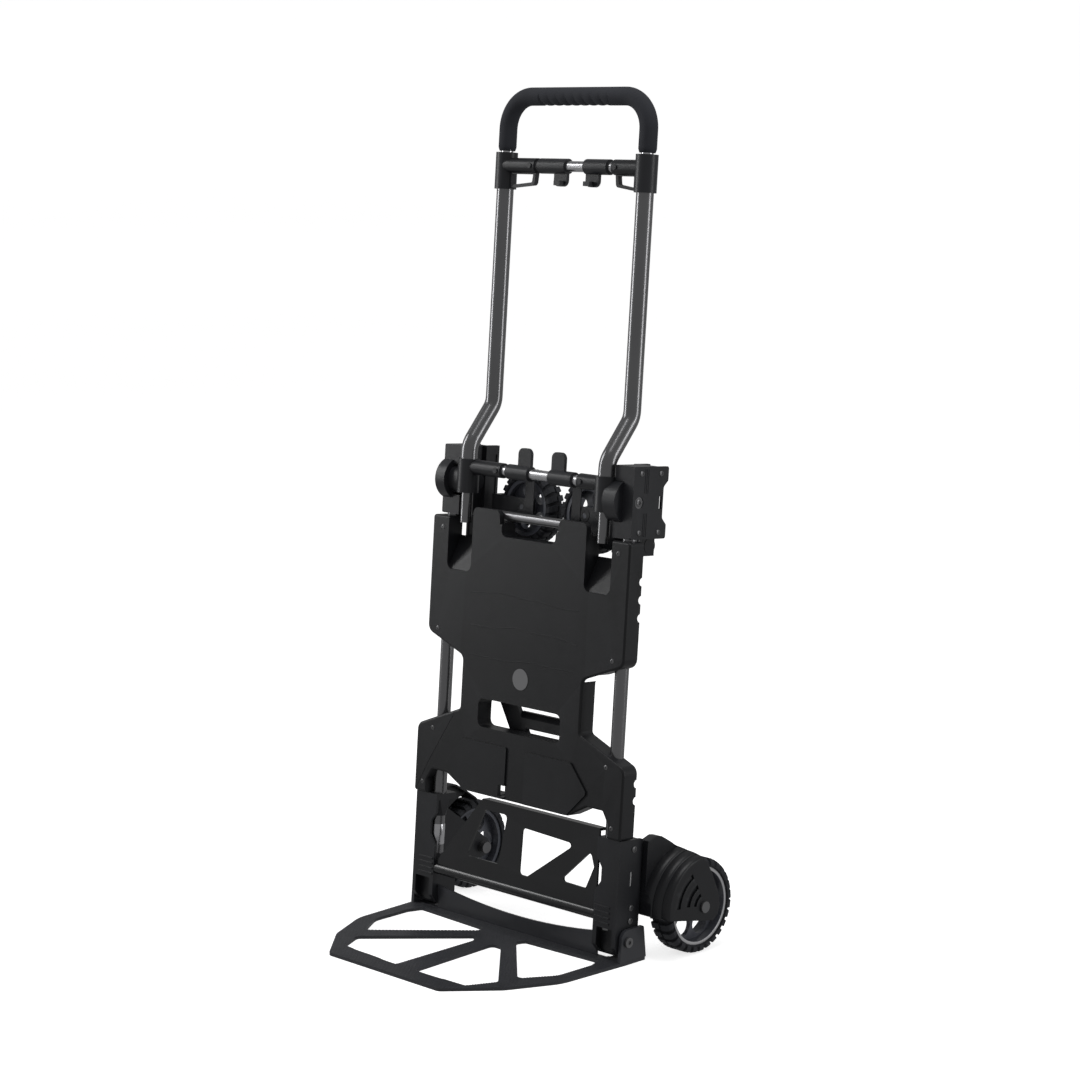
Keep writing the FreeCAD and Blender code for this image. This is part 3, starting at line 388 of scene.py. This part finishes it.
def cover_height(radius):
    """Outer face of the cover, stepped down in rounded ridges away from the axle."""
    fall = 0.0
    for where, drop in RIDGES:
        blend = min(1.0, max(0.0, (radius - where) / RIDGE_BLEND))
        fall += drop * (1 - math.sqrt(1 - blend * blend))
    return COVER_FACE - fall


def cover_radii():
    """Radii at which the cover's face has a ring of corners."""
    radii = FLAT_RADII | {r for low, high, _, _ in VENTS for r in (low, high)}
    radii |= {start + RIDGE_BLEND * k / RIDGE_PARTS
              for start, _ in RIDGES for k in range(RIDGE_PARTS + 1)}
    return sorted(radii | set(OUTER_RADII))


def is_vent(near, far, degrees):
    """Whether a patch of the face, between two radii, lies in one of the vents."""
    return any(inner - RADIUS_SLACK <= near and far <= outer + RADIUS_SLACK and low <= degrees <= high
               for inner, outer, low, high in VENTS)


def vent_shade_sheet(bm, around):
    """Sheet of the cover's plastic just behind the vents, as painted shade: it stands in for the shade inside
    them, so that no light shows through.
    """
    shade_sheet = []
    for degrees in SHADE_SHEET_DEGREES:
        turn = math.radians(180 - degrees)
        shade_sheet.append([bm.verts.new(around(SHADE_SHEET_U, r, turn)) for r in SHADE_SHEET_RADII])
    for (near, far), (next_near, next_far) in zip(shade_sheet, shade_sheet[1:]):
        bm.faces.new((near, far, next_far, next_near))


def cover_piece(hand, side):
    """Ribbed cover over the rear wheel, with a wall along its outline and open vents."""
    rel = Vector(JOINTS["rear_wheel_spin_" + hand]["pos_m"]) - FRAME_ZERO
    centre = (rel.dot(DEPTH) / MM, rel.dot(UP) / MM)

    def around(u, r, turn):
        return place(side * u, centre[0] + r * math.cos(turn), centre[1] + r * math.sin(turn))

    radii = cover_radii()
    bm = bmesh.new()
    grid = []
    for index in range(COVER_SECTORS):
        angle = 2 * math.pi * index / COVER_SECTORS
        reach = outline_reach(COVER_OUTLINE, centre, angle)
        row = []
        for radius in radii:
            r = min(radius, reach)
            row.append(bm.verts.new(around(cover_height(r), r, angle)))
        foot = bm.verts.new(around(COVER_INNER, reach, angle)) if reach > WALL_FROM_REACH else None
        grid.append((row, foot, reach))
    for index in range(COVER_SECTORS):
        row, foot, reach = grid[index]
        after, after_foot, after_reach = grid[(index + 1) % COVER_SECTORS]
        degrees = 180 - (index + 0.5) * 360 / COVER_SECTORS
        for k, (near, far) in enumerate(zip(radii, radii[1:])):
            inside = min(reach, after_reach) > near - RADIUS_SLACK or max(reach, after_reach) > near
            if inside and not is_vent(near, far, degrees):
                bm.faces.new((row[k], row[k + 1], after[k + 1], after[k]))
        if foot and after_foot and index * 360 / COVER_SECTORS <= WALL_DEGREES:
            bm.faces.new((row[-1], foot, after_foot, after[-1]))
    # painted shade: the sheet behind the vents stands in for the shade inside them
    vent_shade_sheet(bm, around)
    piece = new_piece("cover_" + hand, bm, MATERIALS["housing_plastic"], "rear_arm_" + hand,
                      ["rear_cover_" + hand])
    shell = piece.modifiers.new("skin", "SOLIDIFY")
    shell.thickness = COVER_SKIN * MM
    shell.offset = -1
    soften(piece, 0.5)


# ---- grip -------------------------------------------------------------------------------------

# the grip's centre line: its legs, depth, top, the legs' lower ends and the bends' radius
GRIP_U, GRIP_V, GRIP_TOP, GRIP_LEG, GRIP_BEND = 126.0, 48.3, 1099.0, 1028.0, 42.0
LEG_STEPS, BEND_STEPS, TOP_STEPS = 12, 24, 160
FOAM_R, FOAM_SIDES = 11.9, 40
END_SHRINK, END_STEP = 1.6, 0.9        # the outermost ring, and how much less the next one shrinks
FINGER_PITCH, FINGER_HALF, FINGER_DEPTH = 15.5, 62.0, 1.8
FINGER_SLANT, FINGER_SHARPNESS, FINGER_FADE = 4, 0.6, 0.45


def grip_path():
    """Points (u, w) and outward directions along the U, in even steps."""
    points = []
    corner_w = GRIP_TOP - GRIP_BEND
    corner_u = GRIP_U - GRIP_BEND
    for k in range(LEG_STEPS + 1):
        points.append((-GRIP_U, GRIP_LEG + (corner_w - GRIP_LEG) * k / LEG_STEPS, -1.0, 0.0))
    for k in range(1, BEND_STEPS):
        a = math.pi - math.pi / 2 * k / BEND_STEPS
        points.append((-corner_u + GRIP_BEND * math.cos(a), corner_w + GRIP_BEND * math.sin(a),
                       math.cos(a), math.sin(a)))
    mirrored = [(-u, w, -nu, nw) for u, w, nu, nw in reversed(points)]
    for k in range(TOP_STEPS + 1):
        points.append((-corner_u + 2 * corner_u * k / TOP_STEPS, GRIP_TOP, 0.0, 1.0))
    return points + mirrored


def grip_piece():
    """Foam grip with finger ridges under its top, a little thinner at its two ends."""
    bm = bmesh.new()
    path = grip_path()
    rings = []
    for index, (u, w, nu, nw) in enumerate(path):
        from_end = min(index, len(path) - 1 - index)
        shrink = END_SHRINK - END_STEP * from_end if from_end < 2 else 0.0
        ring = []
        for k in range(FOAM_SIDES):
            angle = 2 * math.pi * k / FOAM_SIDES
            outward, back = math.cos(angle), math.sin(angle)
            r = FOAM_R - shrink
            if abs(u) < FINGER_HALF and nw > 0.99:
                along = (u + FINGER_HALF + FINGER_SLANT * outward) / FINGER_PITCH
                lobe = abs(math.sin(math.pi * along)) ** FINGER_SHARPNESS
                underneath = min(1.0, max(0.0, (FINGER_FADE - outward) / (2 * FINGER_FADE)))
                r -= FINGER_DEPTH * (1 - lobe) * underneath
            ring.append(bm.verts.new(place(u + nu * outward * r, GRIP_V + back * r, w + nw * outward * r)))
        rings.append(ring)
    join_rings(bm, rings)
    bm.faces.new(rings[0])
    bm.faces.new(rings[-1])
    piece = new_piece("foam_grip", bm, MATERIALS["grip_foam"], "grip", ["grip_foam"])


# ---- raised detail on the deck, blocks, posts and casters --------------------------------------

CREASES = ((364, 2.2, 0.3), (404, 3.0, 1.4), (447, 2.4, 2.6))        # height, swing, phase
CREASE_REACH, CREASE_STEPS, LONG_WAVE, SHORT_WAVE, SHORT_SHARE = 98, 90, 34, 13, 0.4
CREASE_RISE, CREASE_HALF = 0.45 * 0.7, 0.45 * 1.6
CREASE_ANGLES = (0, math.pi / 4, math.pi / 2, 3 * math.pi / 4, math.pi, 1.5 * math.pi)


def crease(bm, height, swing, phase):
    """Thin wavy moulding line across the deck's face."""
    rings = []
    for index in range(CREASE_STEPS + 1):
        u = -CREASE_REACH + 2 * CREASE_REACH * index / CREASE_STEPS
        wave = math.sin(u / LONG_WAVE + phase) + SHORT_SHARE * math.sin(u / SHORT_WAVE + 2 * phase)
        w = height + swing * wave
        rings.append([bm.verts.new(place(u, -CREASE_RISE * math.sin(a), w + CREASE_HALF * math.cos(a)))
                      for a in CREASE_ANGLES])
    join_rings(bm, rings)
    bm.faces.new(rings[0])
    bm.faces.new(rings[-1])


def deck_creases():
    """Three faint lines in the upper half of the deck."""
    bm = bmesh.new()
    for height, swing, phase in CREASES:
        crease(bm, height, swing, phase)
    new_piece("deck_creases", bm, MATERIALS["deck_plastic"], "frame")


BLOCK_RIBS = (28.5, 31.5, 34.5)
BLOCK_RIB_WIDTH, BLOCK_RIB_SPANS = 1.2, ((547, 577), (602, 633))
POST_RIBS = (52, 59, 66, 73)
POST_RIB_WIDTH, POST_RIB_SPAN, POST_RIB_DEPTH = 2.6, (152, 178), (2.9, 4.4)
RIB_SINK, RIB_RISE = 0.3, 0.5


def side_ribs(hand, side):
    """Fine upright ribs down the block's cover, and level ribs on the post above its foot."""
    bm = bmesh.new()
    for v in BLOCK_RIBS:
        for span in BLOCK_RIB_SPANS:
            bar(bm, (side * (BLOCK_FACE - RIB_SINK), side * (BLOCK_FACE + RIB_RISE)),
                (v, v + BLOCK_RIB_WIDTH), span)
    for w in POST_RIBS:
        bar(bm, [side * u for u in POST_RIB_SPAN], POST_RIB_DEPTH, (w, w + POST_RIB_WIDTH))
    piece = new_piece("side_ribs_" + hand, bm, MATERIALS["housing_plastic"], "frame",
                      smooth=False)
    soften(piece, 0.35)


SLOT_STRIP_U, SLOT_STRIP_V, SLOT_STRIP_W = (188.2, 189.3), (26.1, 28.9), (102.3, 120.7)


def post_slot_strip(hand, side):
    """Bright strip in the slot of the post's outer wall."""
    bm = bmesh.new()
    bar(bm, [side * u for u in SLOT_STRIP_U], SLOT_STRIP_V, SLOT_STRIP_W)
    new_piece("post_slot_strip_" + hand, bm, MATERIALS["rim_ring"], "frame", smooth=False)


HEAD_SIDES = 24
HEAD_DOME = ((1.0, -0.4), (1.0, 0.35), (0.86, 0.8), (0.62, 1.0))        # shares of radius and height
SOCKET_SHARE, SOCKET_RISES = 0.42, (1.0, 0.25)
BLOCK_BOLTS = [(22, 552.3), (57.9, 552.3), (22, 627), (57.9, 627)]        # v, w
BLOCK_BOLT_R, BLOCK_BOLT_RISE = 3.6, 1.5
PIVOT_SCREW_R, PIVOT_SCREW_RISE, PIVOT_SCREW_SINK = 5.2, 1.6, 1.2
POST_BOLTS, POST_BOLT_V = [57, 74, 150], 30        # heights w, depth v
POST_BOLT_R, POST_BOLT_RISE = 3.7, 1.6
DECK_SCREWS = [(161, 525.7), (161, 389), (161, 253), (176, 177)]        # u, w
DECK_SCREW_V, DECK_SCREW_R, DECK_SCREW_RISE = 0.1, 3.1, 0.8


def screw_head(bm, centre, axis, radius, height):
    """Domed head with a six-sided socket, standing out along an axis."""
    start = UP if abs(axis.dot(UP)) < 0.9 else ACROSS
    angles = [2 * math.pi * k / HEAD_SIDES for k in range(HEAD_SIDES)]
    rings = []
    for share, rise in HEAD_DOME:
        rings.append([bm.verts.new(centre + radial(axis, start, a) * (radius * share * MM)
                                   + axis * (height * rise * MM))
                      for a in angles])
    for rise in SOCKET_RISES:
        hexagon = []
        for a in angles:
            flat = (a + math.pi / 6) % (math.pi / 3) - math.pi / 6
            reach = radius * SOCKET_SHARE / math.cos(flat)
            hexagon.append(bm.verts.new(centre + radial(axis, start, a) * (reach * MM)
                                        + axis * (height * rise * MM)))
        rings.append(hexagon)
    join_rings(bm, rings)
    bm.faces.new(rings[-1])
    bm.faces.new(list(reversed(rings[0])))


def side_bolts(hand, side):
    """Bolt heads on the block's cover and post's outer wall, and the screw at the handle's pivot."""
    bm = bmesh.new()
    outward = ACROSS * side
    for v, w in BLOCK_BOLTS:
        screw_head(bm, place(side * BLOCK_FACE, v, w), outward, BLOCK_BOLT_R, BLOCK_BOLT_RISE)
    pivot = place(side * (BLOCK_FACE - PIVOT_SCREW_SINK), PIVOT_V, PIVOT_W)
    screw_head(bm, pivot, outward, PIVOT_SCREW_R, PIVOT_SCREW_RISE)
    for w in POST_BOLTS:
        screw_head(bm, place(side * POST_FACE, POST_BOLT_V, w), outward, POST_BOLT_R, POST_BOLT_RISE)
    new_piece("side_bolt_heads_" + hand, bm, MATERIALS["screw_steel"], "frame")


def face_screws():
    """Screw heads sunk in the deck's front face."""
    bm = bmesh.new()
    for u, w in DECK_SCREWS:
        for side in (1, -1):
            screw_head(bm, place(side * u, DECK_SCREW_V, w), -DEPTH, DECK_SCREW_R, DECK_SCREW_RISE)
    new_piece("deck_screw_heads", bm, MATERIALS["screw_steel"], "frame")


BAND_W, BAND_PROFILE, BAND_SEGMENTS = 106, [(9.1, -14), (9.6, -13), (9.6, 13), (9.1, 14)], 48


def tube_band(hand, side):
    """Bright band on the frame tube, between the tapered bushes."""
    bm = bmesh.new()
    revolve(bm, BAND_PROFILE, place(side * TUBE_U, TUBE_V, BAND_W), UP, ACROSS, BAND_SEGMENTS)
    new_piece("tube_band_" + hand, bm, MATERIALS["bright_steel"], "frame")


RIB_PITCH, RIB_WIDTH, RIB_HEIGHT = 3.2 * MM, 1.4 * MM, 0.45 * MM        # metres
HIGHEST_RIBBED_FACE = 4.6 * MM        # metres


def toe_ribs():
    """Fine raised ribs on the level top of the toe plate."""
    low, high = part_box("toe_plate")
    tops = bmesh.new()
    tops.from_mesh(frame["nodes"]["toe_plate"].data)
    others = [face for face in tops.faces
              if face.normal.z < 0.99 or face.calc_center_median().z > HIGHEST_RIBBED_FACE]
    bmesh.ops.delete(tops, geom=others, context="FACES")
    count = int((high[1] - low[1]) / RIB_PITCH)
    for k in range(count):
        y = low[1] + RIB_PITCH * (k + 0.5)
        for edge in (-1, 1):
            bmesh.ops.bisect_plane(tops, geom=tops.verts[:] + tops.edges[:] + tops.faces[:],
                                   plane_co=(0, y + edge * RIB_WIDTH / 2, 0), plane_no=(0, 1, 0))
    off_rib = []
    for face in tops.faces:
        place_in_pitch = ((face.calc_center_median().y - low[1]) / RIB_PITCH) % 1.0
        if abs(place_in_pitch - 0.5) * RIB_PITCH > RIB_WIDTH / 2:
            off_rib.append(face)
    bmesh.ops.delete(tops, geom=off_rib, context="FACES")
    raised = bmesh.ops.extrude_face_region(tops, geom=tops.faces[:])
    lifted = [item for item in raised["geom"] if isinstance(item, bmesh.types.BMVert)]
    bmesh.ops.translate(tops, vec=(0, 0, RIB_HEIGHT), verts=lifted)
    new_piece("toe_ribs", tops, MATERIALS["toe_paint"], "toe", smooth=False)


LEVER_U, LEVER_V, LEVER_W = (35, 51), (41.6, 42.6), (554, 598)
LEVER_RINGS = ((58.5, 562.5, 8.5), (44.5, 562.0, 4.6))        # u, w, radius
RING_V, RING_SEGMENTS = 41.4, 32
RING_FRONT, RING_BACK = 0.8, 1.2        # the rings' faces, back from RING_V


def caster_lever(hand, side):
    """Thin lever on the front of the stowed caster's fork, with two flat rings."""
    bm = bmesh.new()
    bar(bm, [side * u for u in LEVER_U], LEVER_V, LEVER_W)
    for u, w, radius in LEVER_RINGS:
        hole = radius / 2
        profile = [(hole, RING_FRONT), (radius, RING_FRONT), (radius, RING_BACK), (hole, RING_BACK)]
        revolve(bm, profile, place(side * u, RING_V, w), DEPTH, ACROSS, RING_SEGMENTS)
    piece = new_piece("caster_lever_" + hand, bm, MATERIALS["arm_paint"], "front_fork_" + hand)
    soften(piece, 0.4)


# ---- stage ------------------------------------------------------------------------------------

# radius and height in metres, from the floor's middle up the backdrop
FLOOR_PROFILE = [(0.4, 0), (1.5, 0), (3.5, 0), (7.5, 0), (8.5, 0.15), (9.2, 0.6), (9.5, 1.4), (9.5, 9)]
FLOOR_SIDES, FLOOR_GLOW, WORLD_LIGHT = 96, 0.72, 0.30


def build_stage():
    """Round pale floor that curves up into a backdrop."""
    bm = bmesh.new()
    rings = []
    for radius, height in FLOOR_PROFILE:
        rings.append([bm.verts.new((radius * math.cos(a), radius * math.sin(a), height))
                      for a in [2 * math.pi * k / FLOOR_SIDES for k in range(FLOOR_SIDES)]])
    bm.faces.new(rings[0])
    for ring, after in zip(rings, rings[1:]):
        for k in range(FLOOR_SIDES):
            j = (k + 1) % FLOOR_SIDES
            bm.faces.new((ring[j], ring[k], after[k], after[j]))
    mesh = bpy.data.meshes.new("floor")
    bm.to_mesh(mesh)
    bm.free()
    for polygon in mesh.polygons:
        polygon.use_smooth = True
    floor = bpy.data.objects.new("floor", mesh)
    bpy.context.scene.collection.objects.link(floor)
    material = bpy.data.materials.new("floor")
    material.use_nodes = True
    shader = material.node_tree.nodes["Principled BSDF"]
    shader.inputs["Base Color"].default_value = (0.9, 0.9, 0.9, 1)
    shader.inputs["Roughness"].default_value = 0.8
    shader.inputs["Specular IOR Level"].default_value = 0.1
    shader.inputs["Emission Color"].default_value = (1, 1, 1, 1)
    shader.inputs["Emission Strength"].default_value = FLOOR_GLOW
    mesh.materials.append(material)
    # the floor neither lights the cart from below nor shows in its gloss
    floor.visible_diffuse = False
    floor.visible_glossy = False


def area_light(name, spot, target, size, power):
    """Rectangular lamp at a spot, turned to a target, all in metres and watts."""
    data = bpy.data.lights.new(name, "AREA")
    data.shape = "RECTANGLE"
    data.size, data.size_y = size
    data.energy = power
    lamp = bpy.data.objects.new(name, data)
    lamp.location = spot
    lamp.rotation_euler = (Vector(target) - Vector(spot)).to_track_quat("-Z", "Y").to_euler()
    bpy.context.scene.collection.objects.link(lamp)


def build_lights():
    """Even white surroundings, a softbox overhead and a strip on each side."""
    world = bpy.data.worlds.new("studio")
    world.use_nodes = True
    world.node_tree.nodes["Background"].inputs["Color"].default_value = (1, 1, 1, 1)
    world.node_tree.nodes["Background"].inputs["Strength"].default_value = WORLD_LIGHT
    bpy.context.scene.world = world
    middle = (0, 0, 0.55)
    area_light("top_softbox", (0.3, -0.2, 3.4), middle, (1.6, 1.6), 30)
    area_light("left_strip", (-2.6, -1.4, 1.5), middle, (0.7, 2.6), 34)
    area_light("right_strip", (2.9, 1.4, 1.3), middle, (0.6, 2.6), 20)
    bpy.context.scene.view_settings.view_transform = "Standard"


def build_camera():
    """Long lens at the front right, at about the grip's height and tilted down a little."""
    data = bpy.data.cameras.new("camera")
    data.lens, data.sensor_width = 90.16, 36
    camera = bpy.data.objects.new("camera", data)
    camera.location = (2.4589, -2.3873, 1.0688)
    camera.rotation_euler = (math.radians(81.06), 0, math.radians(44.94))
    bpy.context.scene.collection.objects.link(camera)
    bpy.context.scene.camera = camera


build_camera()
dress_cad_nodes()
for hand, side in SIDES.items():
    tyre_piece("rear_tread_" + hand, "rear_wheel_spin_" + hand, "rear_tyre_" + hand, REAR_BLOCKS)
    tyre_piece("front_tread_" + hand, "front_wheel_spin_" + hand, "front_tyre_" + hand, FRONT_BLOCKS)
    rim_ring("rear_lip_" + hand, "rear_wheel_spin_" + hand, "rear_rim_" + hand, side)
    cover_piece(hand, side)
    side_ribs(hand, side)
    post_slot_strip(hand, side)
    caster_lever(hand, side)
    side_bolts(hand, side)
    tube_band(hand, side)
grip_piece()
deck_creases()
face_screws()
toe_ribs()
build_stage()
build_lights()
